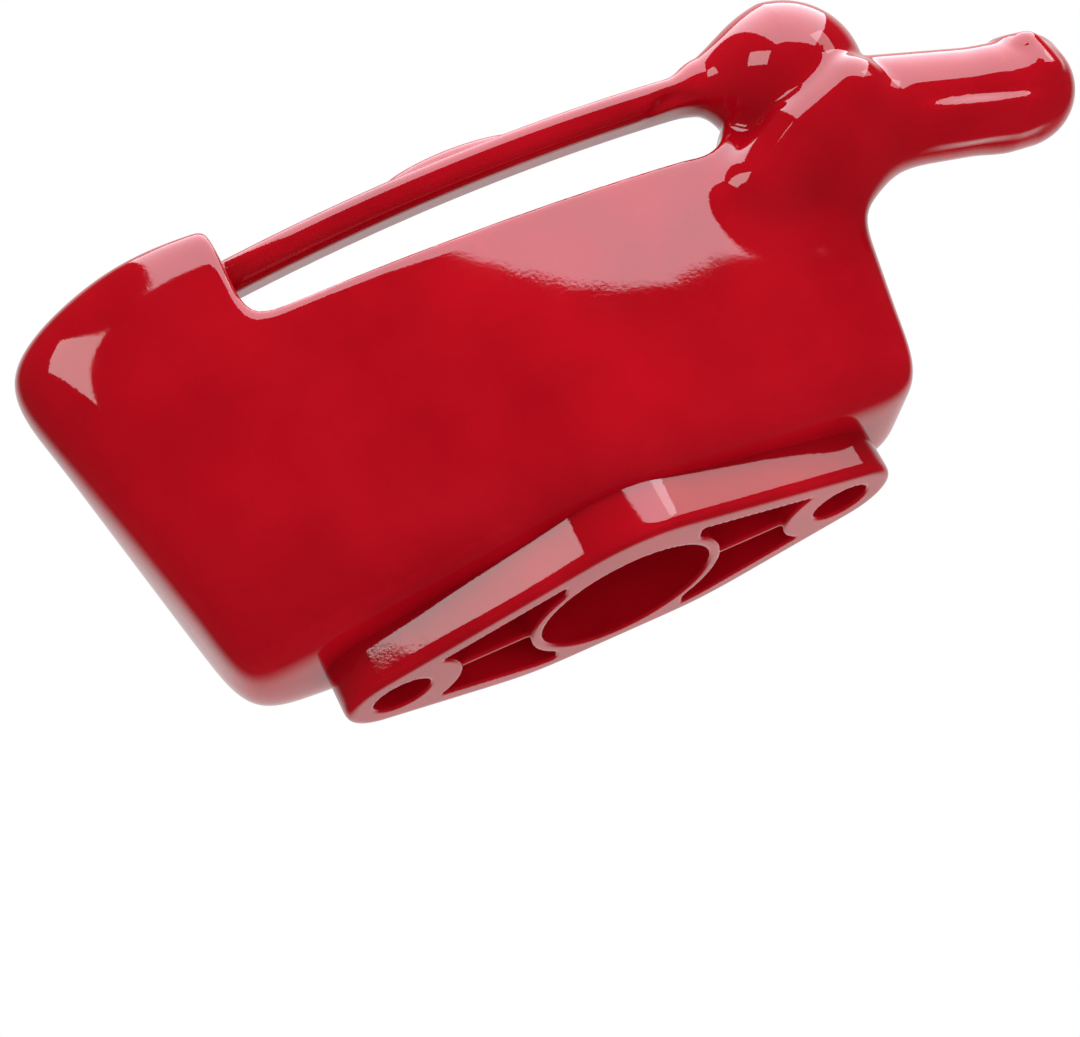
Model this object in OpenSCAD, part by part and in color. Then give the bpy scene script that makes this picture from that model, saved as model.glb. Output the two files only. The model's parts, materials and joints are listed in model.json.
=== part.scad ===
// Mount and demount head of a tyre changer: one glass-filled nylon moulding,
// divided here into the regions a toolmaker would name.
// Frame: the flange face is the plane z = 0 and faces -Z, the bore axis is Z,
// the two bolt holes lie along X, the finger points to +X, the face to -Y.

/* [Mounting flange] */
// Distance between the two bolt holes
bolt_spacing = 90; // [86:1:94]
// Diameter of each bolt hole
bolt_d = 11; // [8:0.5:12]
// Diameter of the central bore
bore_d = 34; // [30:0.5:35]
// Depth of the central bore
bore_depth = 30; // [20:1:32]
// Depth of the bolt holes
bolt_depth = 26; // [18:1:30]
// Height of the flange, and depth of its pockets
flange_t = 9; // [7:0.5:11]
// Radius of the flange outline round the bore
flange_r = 27; // [25:0.5:28]
// Radius of the flange outline round each bolt hole
flange_end_r = 10.8; // [9:0.2:12]
// Distance from the bore axis to the flat back edge of the flange
flange_back = 21.8; // [21:0.2:23]
// Thickness of the wall round the pockets
wall_t = 5.2; // [3:0.2:5.2]
// Thickness of the ribs that split the pockets
rib_t = 1.8; // [1.2:0.2:4]

/* [Body] */
// Left end of the foot
foot_left = 73; // [68:1:78]
// Right end of the foot
foot_right = 68; // [64:1:74]
// Height of the foot block, over the ends of the holes
foot_top = 35; // [34:1:40]
// Height of the body's top edge, which is the slot's lower edge
body_top = 62.4; // [58:0.5:65]
// Distance from the bore axis to the front of the top edge
body_front = 38; // [34:1:42]
// Thickness of the body at its top edge
edge_t = 23; // [18:1:28]
// Radius of the boss that holds the end of the bore
boss_r = 21.5; // [20.5:0.5:24]

/* [Lobes] */
// Overall height, over the top of the leading lobe
height = 87.5; // [84:0.5:92]
// Left end of the trailing lobe
lobe_left = 86.5; // [82:0.5:92]
// Radius of the trailing lobe
trailing_r = 12; // [10:0.5:13]
// Radius of the leading lobe
leading_r = 15; // [13:0.5:17]
// Where the leading lobe's centre stands along X
leading_x = 68; // [66:1:70]

/* [Bead rail] */
// Radius of the rim that the rail follows
rim_r = 240; // [200:5:300]
// Height of the middle of the rail over the flange face
rail_z = 77.6; // [76:0.2:79]
// Thickness of the rail
rail_h = 6.4; // [5:0.2:8]
// Depth of the rail, from front to back
rail_d = 11; // [9:0.5:13]
// Angle at which the rail's back edge rises
rail_cant = 16; // [0:1:20]

/* [Finger] */
// Distance from the bore axis to the finger's tip
finger_reach = 117; // [112:1:122]
// Angle at which the finger dips towards the flange
finger_dip = 15; // [10:1:20]
// Radius of the finger where it leaves the lobe
root_r = 13.5; // [12:0.5:14]
// Radius of the finger at its waist
waist_r = 9.4; // [8:0.2:11]
// Radius of the lip at the tip
lip_r = 6.3; // [5:0.1:7]

/* [Hidden] */
$fn = 64;
ball_fn = 32;
eps = 0.01;
far = 200;
red = [0.63, 0.02, 0.08];

bolt_x = bolt_spacing / 2;
bore_r = bore_d / 2;
hole_r = bolt_d / 2;
collar_r = bore_r + 2.4;
land_r = flange_end_r + 1.2;
sleeve_r = hole_r + 3;
hole_end_t = 3;
pocket_start = 13.5;
back_wall_t = 4.5;

// Angle of the outline's straight sides, tangent to the round and to the ends
side_angle = asin((flange_r - flange_end_r) / bolt_x);

// The body's edges are rounded by balls of these radii
foot_ball = 9;
heel_ball = 7.5;
edge_ball = 6.5;

// How far the foot reaches forward and back at its ends and at its middle
foot_front = 22;
foot_back = 17;
belly_front = 34;
belly_back = 24.5;
belly_half = 14;

slot_left = -45;
slot_right = 50;
edge_drop = 2.3;
edge_front_y = edge_ball - body_front;
edge_back_y = edge_front_y + edge_t - 2 * edge_ball;
edge_z = body_top - edge_ball;

trailing_y = trailing_r - body_front;
trailing_z = height - 2 - trailing_r;
leading_y = -27;
leading_z = height - leading_r;
neck_r = 10;
neck_x = foot_right + 1 - neck_r;
neck_y = -24;
neck_z = 42;

rail_left_y = -28;
rail_right_y = -31;
rail_turn = atan((rail_right_y - rail_left_y) / (slot_right - slot_left));
rail_mid_x = (slot_left + slot_right) / 2;
rail_mid_y = (rail_left_y + rail_right_y) / 2;
rail_root = 6;
rail_corner = 2.6;
hump_r = 4;
hump_x = -6;

// Stations along the finger, measured from its root
finger_y = -29;
finger_root_x = 72;
finger_root_z = 59.5;
knuckle_r = 11;
knuckle_at = 15.5;
tip_r = 10.2;
lip_rise = 4.6;
lip_at = finger_reach - finger_root_x - lip_r;
tip_at = lip_at - 4;
waist_at = tip_at - 4.5;
root_cut = 12;
tip_cut = waist_at - 2;

// One rounded corner of a hull
module ball(x, y, z, r) {
    translate([x, y, z]) sphere(r = r, $fn = ball_fn);
}

// Outline tangent to a round at the bore and to one at each bolt hole
module tangent_outline(r, end_r) {
    rotate(90) circle(r = r);
    for (turn = [0, 180]) rotate(turn) {
        translate([bolt_x, 0]) circle(r = end_r);
        polygon([[r * sin(side_angle), -r * cos(side_angle)],
                 [bolt_x + end_r * sin(side_angle), -end_r * cos(side_angle)],
                 [bolt_x + end_r * sin(side_angle), end_r * cos(side_angle)],
                 [r * sin(side_angle), r * cos(side_angle)]]);
    }
}

module flange_outline() {
    intersection() {
        tangent_outline(flange_r, flange_end_r);
        translate([-far, -far]) square([2 * far, far + flange_back]);
    }
}

// The two pockets at one side of the bore, with the rib between them still open
module pocket_outline(turn) {
    difference() {
        intersection() {
            tangent_outline(flange_r - wall_t, flange_end_r - wall_t);
            mirror([turn, 0]) translate([pocket_start, -far])
                square([bolt_x, far + flange_back - back_wall_t]);
        }
        rotate(90) circle(r = collar_r);
        mirror([turn, 0]) translate([bolt_x, 0]) circle(r = land_r);
    }
}

module rib(turn) {
    color(red) linear_extrude(flange_t) intersection() {
        pocket_outline(turn);
        mirror([turn, 0]) translate([0, -rib_t / 2]) square([bolt_x, rib_t]);
    }
}

module flange_rib_left() { rib(1); }
module flange_rib_right() { rib(0); }

module mounting_flange() {
    color(red) linear_extrude(flange_t) difference() {
        flange_outline();
        for (turn = [0, 1]) pocket_outline(turn);
        rotate(90) circle(r = collar_r);
        for (side = [-1, 1]) translate([side * bolt_x, 0]) circle(r = sleeve_r);
    }
}

// A round wall with a blind hole that opens in the flange face
module blind_sleeve(outer_r, inner_r, depth) {
    color(red) difference() {
        cylinder(r = outer_r, h = depth + hole_end_t);
        translate([0, 0, -eps]) cylinder(r = inner_r, h = depth + eps);
    }
}

module bore_collar() { blind_sleeve(collar_r, bore_r, bore_depth); }

module bolt_sleeve(side) {
    translate([side * bolt_x, 0, 0]) blind_sleeve(sleeve_r, hole_r, bolt_depth);
}

module bolt_sleeve_left() { bolt_sleeve(-1); }
module bolt_sleeve_right() { bolt_sleeve(1); }

// Front and back corners of the foot at one end of it
module foot_corners(x, side) {
    ball(x - side * foot_ball, foot_ball - foot_front, flange_t + foot_ball, foot_ball);
    ball(x - side * (foot_ball + heel_ball), foot_back - heel_ball, flange_t + heel_ball,
         heel_ball);
}

// Front and back corners of the body's top edge at one place along X
module edge_corners(x, drop) {
    ball(x, edge_front_y, edge_z - drop, edge_ball);
    ball(x, edge_back_y, edge_z - drop, edge_ball);
}

// The thick middle, with a belly in front and one behind
module middle_block() {
    hull() {
        foot_corners(-foot_left, -1);
        foot_corners(foot_right, 1);
        for (side = [-1, 1]) {
            ball(side * belly_half, foot_ball - belly_front, flange_t + foot_ball, foot_ball);
            ball(side * belly_half, belly_back - heel_ball, flange_t + heel_ball, heel_ball);
        }
        edge_corners(slot_left - edge_ball, 0);
        edge_corners(slot_right + edge_ball, edge_drop);
    }
}

// The upright at the left, which ends in the trailing lobe
module left_upright() {
    hull() {
        foot_corners(-foot_left, -1);
        ball(trailing_r - lobe_left, trailing_y, trailing_z - 3, trailing_r);
        for (back = [0, 6])
            ball(slot_left - trailing_r, trailing_y + back, trailing_z, trailing_r);
        edge_corners(slot_left - edge_ball, 0);
    }
}

// The upright at the right, which swells into the leading lobe
module right_upright() {
    hull() {
        foot_corners(foot_right, 1);
        edge_corners(slot_right + edge_ball, edge_drop);
        ball(neck_x, neck_y, neck_z, neck_r);
    }
    hull() {
        edge_corners(slot_right + edge_ball, edge_drop);
        ball(neck_x, neck_y, neck_z, neck_r);
        ball(leading_x, leading_y, leading_z, leading_r);
    }
    hull() {
        ball(leading_x, leading_y, leading_z, leading_r);
        ball(slot_right + 6, rail_right_y + 2, rail_z, 5.5);
    }
}

// Places its children on the finger's line: local z runs out along it, -x is up
module along_finger() {
    translate([finger_root_x, finger_y, finger_root_z])
        rotate([0, 90 + finger_dip, 0]) children();
}

// A thick root, a waist, a tip and the lip that rises from it
module finger_shape() {
    along_finger() {
        hull() {
            ball(0, 0, 0, root_r);
            ball(0, 0, knuckle_at, knuckle_r);
            ball(0, 0, waist_at, waist_r);
        }
        hull() {
            ball(0, 0, waist_at, waist_r);
            ball(-1, 0, tip_at, tip_r);
            ball(-lip_rise, 0, lip_at + 1, lip_r);
        }
    }
}

// Everything past a plane that stands square to the finger
module beyond_finger(at) {
    along_finger() translate([-far / 2, -far / 2, at]) cube(far);
}

// Everything above a height, between two places along X
module space(x0, x1, z0) {
    translate([x0, -far / 2, z0]) cube([x1 - x0, far, far]);
}

// Cross-section of the rail, with rounded corners
module rail_section() {
    square([rail_d - 2 * rail_corner, rail_h], center = true);
    square([rail_d, rail_h - 2 * rail_corner], center = true);
    for (i = [-1, 1], j = [-1, 1])
        translate([i * (rail_d / 2 - rail_corner), j * (rail_h / 2 - rail_corner)])
            circle(r = rail_corner);
}

// The rail, an arc of the rim's curve that runs a little way into both lobes
module rail_shape() {
    half = asin(((slot_right - slot_left) / 2 + rail_root) / rim_r);
    translate([rail_mid_x, rail_mid_y + rim_r, rail_z])
        rotate([0, 0, rail_turn - 90 - half])
            rotate_extrude(angle = 2 * half, $fn = 360)
                translate([rim_r, 0]) rotate(-rail_cant) rail_section();
}

// Low hump on the back of the rail's upper face
module rail_hump() {
    translate([hump_x, rail_mid_y + rail_d / 2 - 1, rail_z + 1])
        scale([5.5, 1, 1.6]) sphere(r = hump_r, $fn = ball_fn);
}

module foot_block() {
    color(red) difference() {
        intersection() {
            union() {
                middle_block();
                left_upright();
                right_upright();
                cylinder(r = boss_r, h = foot_top);
            }
            translate([-far / 2, -far / 2, flange_t]) cube([far, far, foot_top - flange_t]);
        }
        cylinder(r = collar_r, h = bore_depth + hole_end_t);
        for (side = [-1, 1])
            translate([side * bolt_x, 0, 0]) cylinder(r = sleeve_r, h = bolt_depth + hole_end_t);
    }
}

module body_panel() {
    color(red) intersection() {
        middle_block();
        space(slot_left, slot_right, foot_top);
    }
}

module trailing_lobe() {
    color(red) difference() {
        intersection() {
            union() {
                middle_block();
                left_upright();
            }
            space(-far / 2, slot_left, foot_top);
        }
        rail_shape();
    }
}

module leading_lobe() {
    color(red) difference() {
        intersection() {
            union() {
                middle_block();
                right_upright();
                finger_shape();
            }
            space(slot_right, far, foot_top);
        }
        beyond_finger(root_cut);
        rail_shape();
    }
}

module bead_rail() {
    color(red) {
        rail_shape();
        rail_hump();
    }
}

module demount_finger() {
    color(red) difference() {
        intersection() {
            union() {
                right_upright();
                finger_shape();
            }
            beyond_finger(root_cut);
        }
        beyond_finger(tip_cut);
    }
}

module finger_lip() {
    color(red) intersection() {
        finger_shape();
        beyond_finger(tip_cut);
    }
}

mounting_flange();
flange_rib_left();
flange_rib_right();
bore_collar();
bolt_sleeve_left();
bolt_sleeve_right();
foot_block();
body_panel();
trailing_lobe();
leading_lobe();
bead_rail();
demount_finger();
finger_lip();
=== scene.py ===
"""Looks of the mount and demount head of a tyre changer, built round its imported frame.

The head is one glossy red moulding. Its shape is written as a signed distance field in
millimetres, which is negative inside, and meshed by surface nets. The CAD frame gives the
driving sizes, and the visual model is in metres, in the same frame.
"""
import json
import math

import bpy
import numpy as np
from mathutils import Matrix, Vector


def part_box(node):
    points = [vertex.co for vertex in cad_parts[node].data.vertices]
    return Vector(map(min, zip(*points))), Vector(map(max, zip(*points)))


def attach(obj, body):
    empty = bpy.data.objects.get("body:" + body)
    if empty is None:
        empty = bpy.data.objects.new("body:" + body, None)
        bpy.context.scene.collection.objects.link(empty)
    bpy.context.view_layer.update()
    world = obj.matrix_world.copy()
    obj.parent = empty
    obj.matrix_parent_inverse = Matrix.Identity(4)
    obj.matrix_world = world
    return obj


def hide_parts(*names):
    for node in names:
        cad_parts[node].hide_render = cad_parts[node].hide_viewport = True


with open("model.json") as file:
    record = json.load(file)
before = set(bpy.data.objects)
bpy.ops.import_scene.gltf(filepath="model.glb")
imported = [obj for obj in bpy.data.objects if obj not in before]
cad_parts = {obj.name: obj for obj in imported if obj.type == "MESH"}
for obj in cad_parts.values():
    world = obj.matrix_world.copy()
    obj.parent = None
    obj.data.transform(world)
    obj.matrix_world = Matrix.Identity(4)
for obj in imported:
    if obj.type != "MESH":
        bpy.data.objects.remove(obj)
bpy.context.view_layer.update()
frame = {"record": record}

MM = 0.001
BODY = "root"
TINY = 1e-9


# ---------------------------------------------------------------- sizes from the frame

def corners(node):
    """Lowest and highest corner of a CAD node, in millimetres."""
    low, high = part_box(node)
    return np.array(low) / MM, np.array(high) / MM


def mount_size(name, key):
    """One dimension of a named mount, in millimetres."""
    mounts = frame["record"]["mounts"]
    return next(m for m in mounts if m["name"] == name)["dims"][key]


flange_low, flange_high = corners("mounting_flange")
panel_low, panel_high = corners("body_panel")

BORE_R = mount_size("bore", "r_mm")
BORE_DEPTH = mount_size("bore", "length_mm")
BOLT_X = mount_size("bolt_holes", "spacing_x_mm") / 2
HOLE_R = mount_size("bolt_holes", "hole_r_mm")
FLANGE_T = flange_high[2]
FLANGE_BACK = flange_high[1]
FLANGE_R = -flange_low[1]
FLANGE_END_R = flange_high[0] - BOLT_X
FOOT_TOP = corners("foot_block")[1][2]
SLOT_LEFT = panel_low[0]
SLOT_RIGHT = panel_high[0]
SLOT_FLOOR = panel_high[2]


# ---------------------------------------------------------------- distance field tools

def smooth_min(a, b, k):
    """Union of two fields with a fillet about k wide."""
    h = np.maximum(k - np.abs(a - b), 0) / k
    return np.minimum(a, b) - h * h * h * (k / 6)


def smooth_max(a, b, k):
    """Intersection of two fields with its edge rounded over about k."""
    return -smooth_min(-a, -b, k)


def smooth_step(start, end, x):
    t = np.clip((x - start) / (end - start), 0, 1)
    return t * t * (3 - 2 * t)


def ball(x, y, z, centre, radius):
    return np.sqrt((x - centre[0]) ** 2 + (y - centre[1]) ** 2 + (z - centre[2]) ** 2) - radius


def taper(x, y, z, start, end, start_r, end_r):
    """Round bar from start to end whose radius changes evenly."""
    a = np.array(start, float)
    along = np.array(end, float) - a
    t = ((x - a[0]) * along[0] + (y - a[1]) * along[1] + (z - a[2]) * along[2]) / (along @ along)
    t = np.clip(t, 0, 1)
    centre = [a[i] + t * along[i] for i in range(3)]
    return ball(x, y, z, centre, start_r + (end_r - start_r) * t)


def bent_bar(x, y, z, points, radii):
    """Round bar through three points, with a radius at each."""
    return np.minimum(taper(x, y, z, *points[:2], *radii[:2]),
                      taper(x, y, z, *points[1:], *radii[1:]))


def tangent_outline(x, y, r, end_r):
    """Round at the bore joined by tangents to a round at each bolt hole."""
    ax, ay = np.abs(x), np.abs(y)
    s = (r - end_r) / BOLT_X
    c = math.sqrt(1 - s * s)
    along = ax * c - ay * s
    straight = ax * s + ay * c - r
    ends = np.hypot(ax - BOLT_X, ay) - end_r
    return np.where(along < 0, np.hypot(ax, ay) - r, np.where(along > BOLT_X * c, ends, straight))


# ---------------------------------------------------------------- body
# Sizes below are in millimetres. A name that ends in EDGE is the width over which an
# edge is rounded, and one that ends in FILLET is the width of a fillet.

LEFT_HEEL = -70.6
LEFT_LEAN = 0.285
RIGHT_SIDE = 65.7
RIGHT_NECK = 6
NECK_START, NECK_END = 10, 60

FOOT_FACE_Y = -21.5
BELLY_DEPTH = 10
BELLY_WIDTH = 34
FACE_TOP_Y = -38.0
FACE_ARC_R = 375
FACE_ARC_X = -20
FLARE_START = 12
FLARE_HEIGHT = 50
FLARE_LIMIT = 1.4
FLARE_BEND = 1.6

FOOT_REAR_Y = 17
HEEL_DEPTH = 8
HEEL_WIDTH = 32
REAR_TOP_Y = -15
REAR_STEP = 7
REAR_STEP_WIDTH = 4
LEAN_START = 17.5
LEAN_HEIGHT = 44.5
LEAN_EDGE = 0.3
REAR_SLOPE = 1.25

SIDE_EDGE = 1
FOOT_EDGE = 12
DEPTH_EDGE = 10
RIM_EDGE = 19
RIM_NARROWING = 6
RIM_WIDE_X, RIM_NARROW_X = -70, -40

LOBE_TOP = 86
LOBE_TOP_X = -60
LOBE_TOP_FALL = 0.16
LOBE_TOP_UNIT = 0.987
LOBE_SLANT_X = -66
LOBE_SLANT_RISE = 0.42
LOBE_SLANT_UNIT = 0.92
LOBE_CORNER_EDGE = 10
LOBE_EDGE = 16
SHOULDER_TOP = 75
SHOULDER_EDGE = 10

FLOOR_Z = SLOT_FLOOR - 0.1
NOTCH_LEFT = SLOT_LEFT - 0.3
NOTCH_RIGHT_INSET = 4
NOTCH_SIDE_EDGE = 2
NOTCH_CORNER = 9
NOTCH_EDGE = 3

BOSS_R = 21.5
BOSS_EDGE = 5


def face(x, z):
    """Front of the body: a belly round the bore that flares out towards the top."""
    belly = FOOT_FACE_Y - BELLY_DEPTH * np.exp(-(x / BELLY_WIDTH) ** 2)
    top = FACE_TOP_Y + (x - FACE_ARC_X) ** 2 / (2 * FACE_ARC_R)
    rise = np.clip((z - FLARE_START) / FLARE_HEIGHT, 0, FLARE_LIMIT)
    flare = (top - belly) * (1 - np.exp(-FLARE_BEND * rise))
    return belly + flare / (1 - math.exp(-FLARE_BEND))


def rear(x, z):
    """Back of the body, which leans forward as it rises."""
    heel = FOOT_REAR_Y + HEEL_DEPTH * np.exp(-(x / HEEL_WIDTH) ** 2)
    top = REAR_TOP_Y + REAR_STEP / (1 + np.exp((x - SLOT_LEFT) / REAR_STEP_WIDTH))
    lean = smooth_min((z - LEAN_START) / LEAN_HEIGHT, 1, LEAN_EDGE)
    return heel + (top - heel) * smooth_max(lean, 0, LEAN_EDGE)


def body(x, y, z):
    """Foot, panel and left-hand lobe, with the notch above the slot's floor taken out."""
    front_back = smooth_max(face(x, z) - y, (y - rear(x, z)) / REAR_SLOPE, DEPTH_EDGE)
    left = (LEFT_HEEL - x - (z - FLANGE_T) * LEFT_LEAN) / math.hypot(1, LEFT_LEAN)
    right = x - RIGHT_SIDE - RIGHT_NECK * smooth_step(NECK_START, NECK_END, z)
    sides = smooth_max(smooth_max(left, right, SIDE_EDGE), FLANGE_T - z, FOOT_EDGE)
    lobe_top = (z - LOBE_TOP + (x - LOBE_TOP_X) * LOBE_TOP_FALL) * LOBE_TOP_UNIT
    lobe_slant = (z - LOBE_TOP - (x - LOBE_SLANT_X) * LOBE_SLANT_RISE) * LOBE_SLANT_UNIT
    lobe = smooth_max(lobe_top, lobe_slant, LOBE_CORNER_EDGE)
    shape = smooth_max(sides, lobe, LOBE_EDGE)
    rim = RIM_EDGE - RIM_NARROWING * smooth_step(RIM_WIDE_X, RIM_NARROW_X, x)
    shape = smooth_max(shape, front_back, rim)
    shape = np.where(x > 0, smooth_max(shape, z - SHOULDER_TOP, SHOULDER_EDGE), shape)
    across = smooth_max(NOTCH_LEFT - x, x - SLOT_RIGHT + NOTCH_RIGHT_INSET, NOTCH_SIDE_EDGE)
    notch = smooth_max(across, FLOOR_Z - z, NOTCH_CORNER)
    return smooth_max(shape, -notch, NOTCH_EDGE)


def boss(x, y, z):
    """Round boss over the end of the bore."""
    return smooth_max(np.hypot(x, y) - BOSS_R, z - FOOT_TOP, BOSS_EDGE)


# ---------------------------------------------------------------- rail

RAIL_MIDDLE = (SLOT_LEFT + SLOT_RIGHT) / 2
RAIL_Y = -29.5
RAIL_Z = 77.6
RAIL_SKEW = 3 / 95
RAIL_RADIUS = 240
RAIL_CANT = math.radians(16)
RAIL_HALF_L = 54
RAIL_HALF_D = 5.5
RAIL_HALF_H = 3.2
RAIL_CORNER = 2.7
RAIL_END_EDGE = 1
HUMP = (3, -24.7, 82.2)
HUMP_HALF = (15, 4.6, 2.8)


def rail(x, y, z):
    """The curved bar that bears on the tyre's bead, with its back edge raised."""
    run = x - RAIL_MIDDLE
    dy = y - RAIL_Y + RAIL_SKEW * run - run ** 2 / (2 * RAIL_RADIUS)
    dz = z - RAIL_Z
    c, s = math.cos(RAIL_CANT), math.sin(RAIL_CANT)
    qy = np.abs(dy * c + dz * s) - RAIL_HALF_D + RAIL_CORNER
    qz = np.abs(dz * c - dy * s) - RAIL_HALF_H + RAIL_CORNER
    corner = np.hypot(np.maximum(qy, 0), np.maximum(qz, 0))
    bar = corner + np.minimum(np.maximum(qy, qz), 0) - RAIL_CORNER
    return smooth_max(bar, np.abs(run) - RAIL_HALF_L, RAIL_END_EDGE)


def hump(x, y, z):
    """Low swelling on the back of the rail's upper face."""
    a, b, c = [((p - middle) / half) ** 2 for p, middle, half in zip((x, y, z), HUMP, HUMP_HALF)]
    return (np.sqrt(a + b + c) - 1) * HUMP_HALF[2]


# ---------------------------------------------------------------- right-hand lobe and finger

KNOB = (68, -27, 71.8)
KNOB_R = 14.7
RAIL_ROOT = ((52, -28, 77.6), (65, -27, 75))
RAIL_ROOT_RADII = (4.2, 11.5)
CHEEK = (68, -26.8, 56.2)
CHEEK_R = 11.8
RIDGE = ((52.5, -28.8, 53), (62, -33, 57.4), (73, -35.8, 60))
RIDGE_RADII = (7, 7, 7.3)
RAIL_ROOT_FILLET = 9
CHEEK_FILLET = 4
RIDGE_FILLET = 4

BARREL_START = (74, -29, 59.3)
BARREL_END = (102, -29, 51.4)
BARREL_RADII = (11.1, 9.9)
TIP = (106.4, -29, 51)
TIP_R = 10.4
LIP = ((107, -29, 51), (110.6, -29, 55))
LIP_RADII = (8, 6.5)
FOLD = ((106.3, -31.2, 58.6), (108.2, -35.9, 55), (109.2, -36.6, 49.5))
FOLD_RADII = (3.2, 3.7, 3)
TIP_FILLET = 3
LIP_FILLET = 2
FOLD_FILLET = 1.6
BARREL_FALL = 0.28
LEDGE = 1.5
LEDGE_LOW, LEDGE_HIGH = -7.3, -4.1
LEDGE_BACK, LEDGE_FRONT = -30, -34
LEDGE_START, LEDGE_END = 76, 92


def leading_lobe(x, y, z):
    """Knob with the rail's root, a cheek below it and a ridge that bends across its front."""
    root = taper(x, y, z, *RAIL_ROOT, *RAIL_ROOT_RADII)
    shape = smooth_min(ball(x, y, z, KNOB, KNOB_R), root, RAIL_ROOT_FILLET)
    shape = smooth_min(shape, ball(x, y, z, CHEEK, CHEEK_R), CHEEK_FILLET)
    return smooth_min(shape, bent_bar(x, y, z, RIDGE, RIDGE_RADII), RIDGE_FILLET)


def finger(x, y, z):
    """Barrel with a fuller lower front, a tip, and the lip with its fold."""
    shape = taper(x, y, z, BARREL_START, BARREL_END, *BARREL_RADII)
    level = z - BARREL_START[2] + (x - BARREL_START[0]) * BARREL_FALL
    ledge = 1 - smooth_step(LEDGE_LOW, LEDGE_HIGH, level)
    front = smooth_step(LEDGE_BACK, LEDGE_FRONT, y)
    shape = shape - LEDGE * ledge * front * smooth_step(LEDGE_START, LEDGE_END, x)
    tip = taper(x, y, z, BARREL_END, TIP, BARREL_RADII[1], TIP_R)
    shape = smooth_min(shape, tip, TIP_FILLET)
    shape = smooth_min(shape, taper(x, y, z, *LIP, *LIP_RADII), LIP_FILLET)
    return smooth_min(shape, bent_bar(x, y, z, FOLD, FOLD_RADII), FOLD_FILLET)


# ---------------------------------------------------------------- whole outer shape

SLOT_END_R = 6.8
SLOT_END_X = SLOT_RIGHT + 0.8 - SLOT_END_R
SLOT_END_Z = FLOOR_Z + SLOT_END_R
RAIL_FRONT_Y = -31
RAIL_UNDERCUT = 4.5
UNDERCUT_EDGE = 2
SLOT_END_EDGE = 2.5

BOSS_FILLET = 5
LOBE_FILLET = 6
LOBE_EXTRA_FILLET = 4
LOBE_FILLET_HIGH, LOBE_FILLET_LOW = 66, 54
FINGER_FILLET = 10
FINGER_LESS_FILLET = 8
FINGER_FILLET_LOW, FINGER_FILLET_HIGH = 48, 62
HUMP_FILLET = 3
RAIL_FILLET = 1.5
RAIL_EXTRA_FILLET = 6
RAIL_FILLET_START, RAIL_FILLET_END = 30, 60

BOLT_DEPTH = 26
BORE_ROOM = 1.4
BOLT_ROOM = 1.5
END_ROOM = 2


def slot_end(x, y, z):
    """Round right-hand end of the slot, which rises in front of the rail's root."""
    hollow = np.hypot(x - SLOT_END_X, z - SLOT_END_Z) - SLOT_END_R
    clear = np.minimum(y - RAIL_FRONT_Y, z - RAIL_Z + RAIL_UNDERCUT)
    return smooth_max(hollow, clear, UNDERCUT_EDGE)


def outside(x, y, z):
    """The whole outer shape over the flange."""
    block = smooth_min(body(x, y, z), boss(x, y, z), BOSS_FILLET)
    low = smooth_step(LOBE_FILLET_HIGH, LOBE_FILLET_LOW, z)
    block = smooth_min(block, leading_lobe(x, y, z), LOBE_FILLET + LOBE_EXTRA_FILLET * low)
    high = smooth_step(FINGER_FILLET_LOW, FINGER_FILLET_HIGH, z)
    block = smooth_min(block, finger(x, y, z), FINGER_FILLET - FINGER_LESS_FILLET * high)
    bar = smooth_min(rail(x, y, z), hump(x, y, z), HUMP_FILLET)
    right = smooth_step(RAIL_FILLET_START, RAIL_FILLET_END, x)
    joined = smooth_min(block, bar, RAIL_FILLET + RAIL_EXTRA_FILLET * right)
    return smooth_max(joined, -slot_end(x, y, z), SLOT_END_EDGE)


def skin(x, y, z):
    """The outer shape with room left inside it for the bore's and the bolt holes' walls."""
    bore = np.maximum(np.hypot(x, y) - BORE_R - BORE_ROOM, z - BORE_DEPTH - END_ROOM)
    bolt = np.hypot(np.abs(x) - BOLT_X, y)
    bolts = np.maximum(bolt - HOLE_R - BOLT_ROOM, z - (BOLT_DEPTH + END_ROOM))
    shape = np.maximum(outside(x, y, z), -bore)
    return np.maximum(np.maximum(shape, -bolts), FLANGE_T - z)


# ---------------------------------------------------------------- flange

COLLAR_R = BORE_R + 2.4
LAND_R = FLANGE_END_R + 1.2
SLEEVE_R = HOLE_R + 3
END_WALL = 3
WALL_ROOT = 2
WALL_T = 5.2
BACK_WALL_T = 4.5
POCKET_START = 13.5
FLANGE_OVERLAP = 2.5
RIB_HALF = 0.95
RIB_INSET = 0.7
RIB_ROOT = 1

BACK_EDGE = 4
FACE_EDGE = 2.6
HOLE_EDGE = 1
POCKET_BACK_CORNER = 2
POCKET_WALL_CORNER = 1.6
POCKET_START_CORNER = 1.5
POCKET_FLOOR_FILLET = 2
POCKET_EDGE = 0.9
RIB_EDGE = 1.1
RIB_FILLET = 0.8


def pockets(x, y):
    """Outline of the pockets on both sides of the bore, across their ribs."""
    walls = tangent_outline(x, y, FLANGE_R - WALL_T, FLANGE_END_R - WALL_T)
    shape = smooth_max(walls, y - FLANGE_BACK + BACK_WALL_T, POCKET_BACK_CORNER)
    shape = smooth_max(shape, COLLAR_R - np.hypot(x, y), POCKET_WALL_CORNER)
    bolt = np.hypot(np.abs(x) - BOLT_X, y)
    shape = smooth_max(shape, LAND_R - bolt, POCKET_WALL_CORNER)
    return smooth_max(shape, POCKET_START - np.abs(x), POCKET_START_CORNER)


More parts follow.
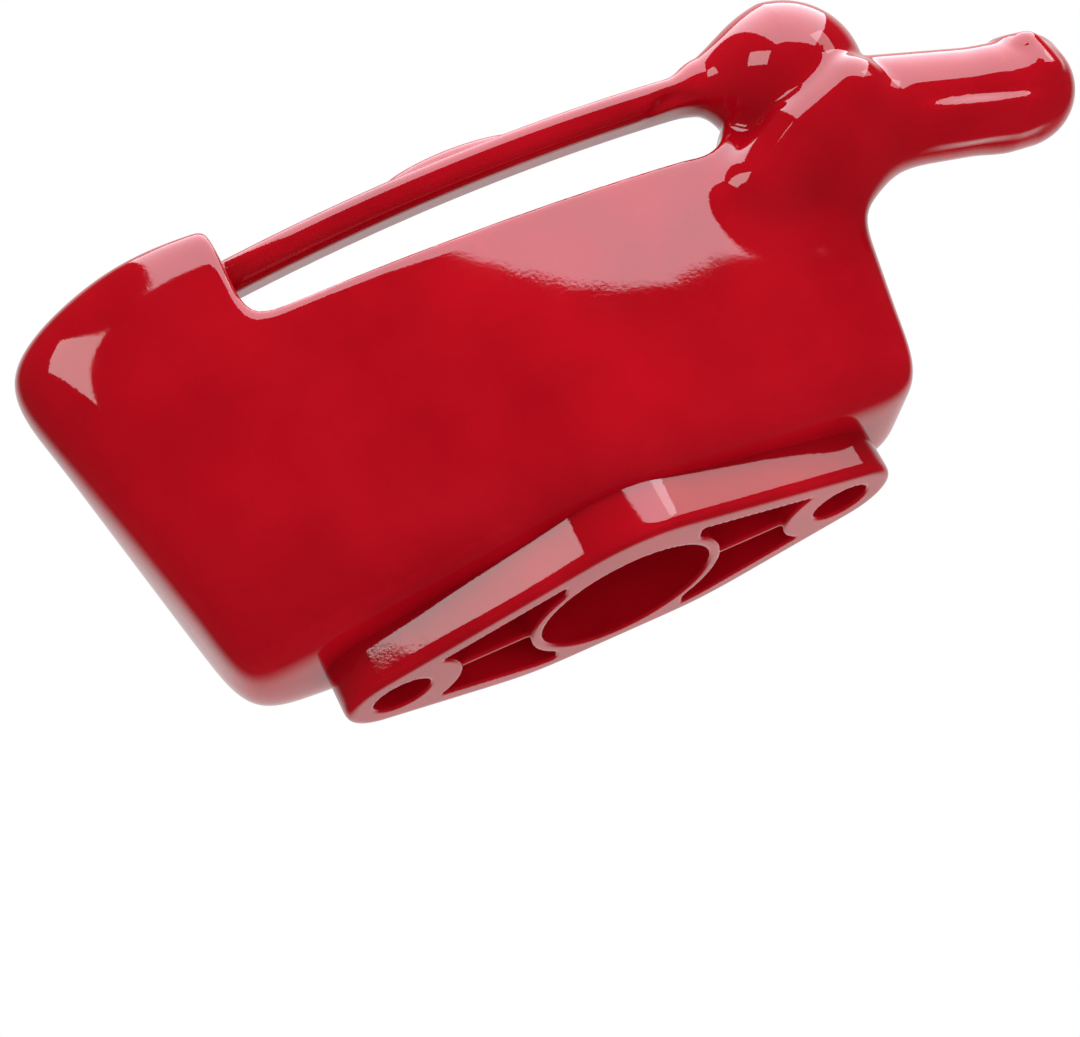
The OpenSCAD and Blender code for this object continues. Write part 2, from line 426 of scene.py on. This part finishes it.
def flange(x, y, z):
    """Flange with its pockets and ribs, and the walls of the bore and the bolt holes."""
    outline = tangent_outline(x, y, FLANGE_R, FLANGE_END_R)
    outline = smooth_max(outline, y - FLANGE_BACK, BACK_EDGE)
    shape = smooth_max(outline, -z, FACE_EDGE)
    shape = smooth_max(shape, z - FLANGE_T - FLANGE_OVERLAP, HOLE_EDGE)
    rho = np.hypot(x, y)
    bolt = np.hypot(np.abs(x) - BOLT_X, y)
    collar = smooth_max(rho - COLLAR_R, z - BORE_DEPTH - END_WALL, HOLE_EDGE)
    collar = np.maximum(collar, WALL_ROOT - z)
    sleeves = np.maximum(np.maximum(bolt - SLEEVE_R, z - BOLT_DEPTH - END_WALL), WALL_ROOT - z)
    shape = np.minimum(np.minimum(shape, collar), sleeves)
    for hole in (smooth_max(rho - BORE_R, z - BORE_DEPTH, HOLE_EDGE),
                 smooth_max(bolt - HOLE_R, z - BOLT_DEPTH, HOLE_EDGE)):
        shape = smooth_max(shape, -hole, HOLE_EDGE)
    pocket = pockets(x, y)
    pocket_room = smooth_max(pocket, z - FLANGE_T, POCKET_FLOOR_FILLET)
    shape = smooth_max(shape, -pocket_room, POCKET_EDGE)
    rib = smooth_max(np.abs(y) - RIB_HALF, RIB_INSET - z, RIB_EDGE)
    rib = np.maximum(rib, np.maximum(pocket - RIB_ROOT, z - FLANGE_T - RIB_ROOT))
    return smooth_min(shape, rib, RIB_FILLET)


# ---------------------------------------------------------------- surface nets

BLOCK = 16
BLOCK_REACH = 1.4
FIELD_SLACK = 3
FAR = 1000.0
GRADIENT_STEP = 0.03
LEAST_SLOPE = 0.05
LONGEST_STEP = 0.5
SETTLE_ROUNDS = 2


def sample(field, low, counts, h):
    """The field on a grid, worked out in full only in the blocks near the surface."""
    blocks = -(-counts // BLOCK)
    values = np.zeros(tuple(blocks * BLOCK + 1), np.float32)
    index = np.indices(tuple(blocks)).reshape(3, -1).T
    middles = (index + 0.5) * BLOCK * h + low
    distance = field(*middles.T)
    near = np.abs(distance) < BLOCK * h * BLOCK_REACH + FIELD_SLACK
    span = np.arange(BLOCK + 1) * h
    local = np.stack(np.meshgrid(span, span, span, indexing="ij"), -1).reshape(-1, 3)

    def place(block):
        return tuple(slice(i * BLOCK, i * BLOCK + BLOCK + 1) for i in block)

    for block, d in zip(index[~near], distance[~near]):
        values[place(block)] = FAR if d > 0 else -FAR
    for block in index[near]:
        points = local + block * BLOCK * h + low
        values[place(block)] = field(*points.T).reshape((BLOCK + 1,) * 3)
    return values


def surface_net(field, low, high, h):
    """Vertices and quads of the field's zero surface, with one vertex in each crossed cell."""
    low = np.array(low, float)
    counts = np.ceil((np.array(high) - low) / h).astype(int) + 1
    values = sample(field, low, counts, h)
    inside = values < 0
    steps = [(i, j, k) for i in (0, 1) for j in (0, 1) for k in (0, 1)]
    size = np.array(values.shape) - 1

    def shifted(step):
        return inside[tuple(slice(s, s + n) for s, n in zip(step, size))]

    every = np.logical_and.reduce([shifted(s) for s in steps])
    some = np.logical_or.reduce([shifted(s) for s in steps])
    crossed = some & ~every
    cells = np.argwhere(crossed)
    number = np.full(crossed.shape, -1)
    number[crossed] = np.arange(len(cells))
    total = np.zeros((len(cells), 3))
    hits = np.zeros(len(cells))
    for step in steps:
        for axis in range(3):
            if step[axis]:
                continue
            far_end = np.array(step)
            far_end[axis] = 1
            a = values[tuple((cells + step).T)]
            b = values[tuple((cells + far_end).T)]
            cut = (a < 0) != (b < 0)
            t = np.where(cut, a / np.where(cut, a - b, 1), 0)
            point = np.array(step) + t[:, None] * (far_end - np.array(step))
            total += np.where(cut[:, None], point, 0)
            hits += cut
    vertices = (cells + total / hits[:, None]) * h + low
    quads = [net_quads(inside, number, axis) for axis in range(3)]
    return vertices, np.concatenate(quads)


def net_quads(inside, number, axis):
    """One quad round each grid edge along an axis that the surface crosses."""
    u, v = [i for i in range(3) if i != axis]
    start = [slice(1, -1)] * 3
    end = [slice(1, -1)] * 3
    start[axis] = slice(0, -1)
    end[axis] = slice(1, None)
    a, b = inside[tuple(start)], inside[tuple(end)]
    edges = np.argwhere(a != b)
    outward = a[tuple(edges.T)]
    if axis == 1:
        outward = ~outward
    edges[:, u] += 1
    edges[:, v] += 1

    def cell(du, dv):
        at = edges.copy()
        at[:, u] -= du
        at[:, v] -= dv
        return number[tuple(at.T)]

    quads = np.stack([cell(1, 1), cell(0, 1), cell(0, 0), cell(1, 0)], 1)
    return np.where(outward[:, None], quads, quads[:, ::-1])


def gradient(field, points):
    parts = []
    for axis in range(3):
        shift = np.zeros(3)
        shift[axis] = GRADIENT_STEP
        ahead, behind = field(*(points + shift).T), field(*(points - shift).T)
        parts.append((ahead - behind) / (2 * GRADIENT_STEP))
    return np.stack(parts, 1)


def settle(field, points):
    """Moves each vertex onto the zero surface."""
    for _ in range(SETTLE_ROUNDS):
        slope = gradient(field, points)
        step = field(*points.T) / np.maximum((slope * slope).sum(1), LEAST_SLOPE)
        points = points - np.clip(step, -LONGEST_STEP, LONGEST_STEP)[:, None] * slope
    return points


# ---------------------------------------------------------------- material

def map_range(nodes, links, value, low, high, to_low, to_high):
    node = nodes.new("ShaderNodeMapRange")
    node.inputs["From Min"].default_value = low
    node.inputs["From Max"].default_value = high
    node.inputs["To Min"].default_value = to_low
    node.inputs["To Max"].default_value = to_high
    links.new(value, node.inputs["Value"])
    return node


DEEP_RED = (0.30, 0.0010, 0.005)
CLEAR_RED = (0.40, 0.0022, 0.008)
# Lighter red for sharp edges: partly wear, partly a painted highlight that stands in for edge
# glints.
WORN_AND_GLINT_RED = (0.78, 0.10, 0.12)
NYLON_IOR = 1.56


def red_nylon():
    """Glossy moulded nylon: cloudy red, with faint smears, soft ripples, and scuffed edges
    painted lighter, partly as wear and partly as a painted highlight.
    """
    material = bpy.data.materials.new("red_nylon_gloss")
    material.use_nodes = True
    nodes, links = material.node_tree.nodes, material.node_tree.links
    shader = nodes["Principled BSDF"]
    shader.inputs["IOR"].default_value = NYLON_IOR
    place = nodes.new("ShaderNodeTexCoord")

    def noise(scale, detail, roughness=0.5):
        node = nodes.new("ShaderNodeTexNoise")
        node.inputs["Scale"].default_value = scale
        node.inputs["Detail"].default_value = detail
        node.inputs["Roughness"].default_value = roughness
        links.new(place.outputs["Object"], node.inputs["Vector"])
        return node.outputs["Fac"]

    def remap(value, low, high, to_low, to_high):
        return map_range(nodes, links, value, low, high, to_low, to_high).outputs["Result"]

    def mix(fac, a, b):
        node = nodes.new("ShaderNodeMix")
        node.data_type = "RGBA"
        links.new(fac, node.inputs["Factor"])
        for socket, colour in ((node.inputs["A"], a), (node.inputs["B"], b)):
            if isinstance(colour, tuple):
                socket.default_value = (*colour, 1)
            else:
                links.new(colour, socket)
        return node.outputs["Result"]

    def add(a, b):
        node = nodes.new("ShaderNodeMath")
        node.operation = "ADD"
        links.new(a, node.inputs[0])
        links.new(b, node.inputs[1])
        return node.outputs[0]

    def bump(height, strength, distance):
        node = nodes.new("ShaderNodeBump")
        node.inputs["Strength"].default_value = strength
        node.inputs["Distance"].default_value = distance
        links.new(height, node.inputs["Height"])
        return node

    clouds = remap(noise(scale=38, detail=4), low=0.35, high=0.7, to_low=0, to_high=1)
    base = mix(clouds, DEEP_RED, CLEAR_RED)
    edges = nodes.new("ShaderNodeNewGeometry").outputs["Pointiness"]
    # Sharp edges are painted lighter: partly wear, partly a painted highlight.
    wear_and_glint = remap(edges, low=0.56, high=0.66, to_low=0, to_high=1)
    links.new(mix(wear_and_glint, base, WORN_AND_GLINT_RED), shader.inputs["Base Color"])

    streaks = noise(scale=70, detail=5, roughness=0.6)
    smears = remap(streaks, low=0.4, high=0.75, to_low=0.02, to_high=0.06)
    scuffs = remap(edges, low=0.54, high=0.68, to_low=0, to_high=0.22)
    links.new(add(smears, scuffs), shader.inputs["Roughness"])

    ripples = bump(noise(scale=60, detail=2), strength=0.10, distance=0.0006)
    grain = bump(noise(scale=1500, detail=3), strength=0.05, distance=0.0001)
    links.new(ripples.outputs["Normal"], grain.inputs["Normal"])
    links.new(grain.outputs["Normal"], shader.inputs["Normal"])
    return material


def plain(name, colour, roughness):
    material = bpy.data.materials.new(name)
    material.use_nodes = True
    shader = material.node_tree.nodes["Principled BSDF"]
    shader.inputs["Base Color"].default_value = (*colour, 1)
    shader.inputs["Roughness"].default_value = roughness
    return material


# ---------------------------------------------------------------- pieces

HEAD_GRID = ((-93, -48, 6), (124, 30, 93))
HEAD_CELL = 0.8
FLANGE_GRID = ((-58, -29, -1.5), (58, 24, 35))
FLANGE_CELL = 0.6


def moulding(name, field, grid, cell, material, nodes):
    """Adds one closed piece of the moulding, which stands for some CAD nodes."""
    points, quads = surface_net(field, *grid, cell)
    points = settle(field, points)
    normals = gradient(field, points)
    normals /= np.linalg.norm(normals, axis=1, keepdims=True) + TINY
    mesh = bpy.data.meshes.new(name)
    mesh.from_pydata(points * MM, [], quads.tolist())
    mesh.shade_smooth()
    mesh.normals_split_custom_set_from_vertices(normals)
    mesh.materials.append(material)
    piece = bpy.data.objects.new(name, mesh)
    bpy.context.scene.collection.objects.link(piece)
    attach(piece, BODY)
    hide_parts(*nodes)


# ---------------------------------------------------------------- camera, light and stage

# Camera distances and light sizes are in metres.

AZIMUTH = math.radians(13.32)
ELEVATION = math.radians(19.63)
ROLL = math.radians(27.75)
DISTANCE = 0.405
AIM_RIGHT = -0.01589
AIM_UP = 0.01433
SENSOR_MM = 36
LENS_MM = 73.83
CLIP_START = 0.01
LIT_POINT = Vector((0.01, -0.02, 0.04))
LIGHT_DISTANCE = 1.0
NEARLY_ALONG = 0.98


def camera_axes():
    """The camera's right, up and back directions."""
    ca, sa = math.cos(AZIMUTH), math.sin(AZIMUTH)
    ce, se = math.cos(ELEVATION), math.sin(ELEVATION)
    right = Vector((ca, -sa, 0))
    ahead = Vector((sa * ce, ca * ce, se))
    up = right.cross(ahead)
    c, s = math.cos(ROLL), math.sin(ROLL)
    return right * c - up * s, right * s + up * c, -ahead


RIGHT, UP, BACK = camera_axes()


def add_camera():
    data = bpy.data.cameras.new("photo_view")
    data.sensor_width = SENSOR_MM
    data.lens = LENS_MM
    data.clip_start = CLIP_START
    camera = bpy.data.objects.new("photo_view", data)
    spot = Matrix.Translation(RIGHT * AIM_RIGHT + UP * AIM_UP + BACK * DISTANCE)
    camera.matrix_world = spot @ axes_matrix(RIGHT, UP, BACK)
    bpy.context.scene.collection.objects.link(camera)
    bpy.context.scene.camera = camera


def axes_matrix(right, up, back):
    """Rotation that turns the world's axes to these three."""
    return Matrix((right, up, back)).transposed().to_4x4()


def add_softbox(name, towards, width, height, power, colour=(1, 1, 1), turn=0):
    """A rectangular light that faces the head.

    towards is where it stands, along the camera's right, up and back. turn rolls it about
    the line to the head, in radians.
    """
    data = bpy.data.lights.new(name, "AREA")
    data.shape = "RECTANGLE"
    data.size, data.size_y = width, height
    data.energy = power
    data.color = colour
    light = bpy.data.objects.new(name, data)
    way = (RIGHT * towards[0] + UP * towards[1] + BACK * towards[2]).normalized()
    side = way.cross(UP).normalized() if abs(way.dot(UP)) < NEARLY_ALONG else RIGHT
    side = side * math.cos(turn) + way.cross(side) * math.sin(turn)
    spot = Matrix.Translation(way * LIGHT_DISTANCE + LIT_POINT)
    light.matrix_world = spot @ axes_matrix(side, way.cross(side), way)
    bpy.context.scene.collection.objects.link(light)
    return light


def add_world():
    """Surroundings that light the head from behind only, and look white to the camera."""
    world = bpy.data.worlds.new("studio")
    bpy.context.scene.world = world
    world.use_nodes = True
    nodes, links = world.node_tree.nodes, world.node_tree.links
    background = nodes["Background"]
    place = nodes.new("ShaderNodeTexCoord")
    dot = nodes.new("ShaderNodeVectorMath")
    dot.operation = "DOT_PRODUCT"
    links.new(place.outputs["Generated"], dot.inputs[0])
    dot.inputs[1].default_value = BACK
    glow = map_range(nodes, links, dot.outputs["Value"], low=-0.80, high=-0.45,
                     to_low=0.85, to_high=0.05)
    glow.interpolation_type = "SMOOTHSTEP"
    seen = nodes.new("ShaderNodeLightPath")
    paper = nodes.new("ShaderNodeMath")
    paper.operation = "MAXIMUM"
    links.new(seen.outputs["Is Camera Ray"], paper.inputs[0])
    links.new(glow.outputs["Result"], paper.inputs[1])
    links.new(paper.outputs[0], background.inputs["Strength"])
    background.inputs["Color"].default_value = (1, 1, 1, 1)


FLOOR_HALF = 0.9
FLOOR_LEVEL = -0.16
FLOOR_GREY = (0.70, 0.70, 0.70)
FLOOR_ROUGHNESS = 0.9


def add_floor():
    mesh = bpy.data.meshes.new("studio_floor")
    ends = (-FLOOR_HALF, FLOOR_HALF)
    mesh.from_pydata([(x, y, FLOOR_LEVEL) for y in ends for x in ends], [], [(0, 1, 3, 2)])
    mesh.materials.append(plain("floor_paper", FLOOR_GREY, FLOOR_ROUGHNESS))
    floor = bpy.data.objects.new("studio_floor", mesh)
    bpy.context.scene.collection.objects.link(floor)
    floor.visible_glossy = False


bpy.context.scene.view_settings.view_transform = "Standard"
add_camera()
add_world()
add_floor()
add_softbox("overhead_panel", towards=(0.045, 1.0, -0.025), width=1.33, height=1.84, power=32,
            colour=(0.94, 0.98, 1.08), turn=math.radians(9))
add_softbox("left_box", towards=(-0.62, 0.46, 0.63), width=0.42, height=0.33, power=1.9)
add_softbox("right_box", towards=(0.60, 0.76, 0.22), width=0.34, height=0.24, power=0.7)
fill = add_softbox("left_fill", towards=(-0.85, 0.10, 0.50), width=0.6, height=0.6, power=3)
fill.visible_glossy = False

nylon = red_nylon()
moulding("head_skin", skin, HEAD_GRID, HEAD_CELL, nylon,
         ("foot_block", "body_panel", "trailing_lobe", "leading_lobe", "bead_rail",
          "demount_finger", "finger_lip"))
moulding("head_flange", flange, FLANGE_GRID, FLANGE_CELL, nylon,
         ("mounting_flange", "flange_rib_left", "flange_rib_right", "bore_collar",
          "bolt_sleeve_left", "bolt_sleeve_right"))
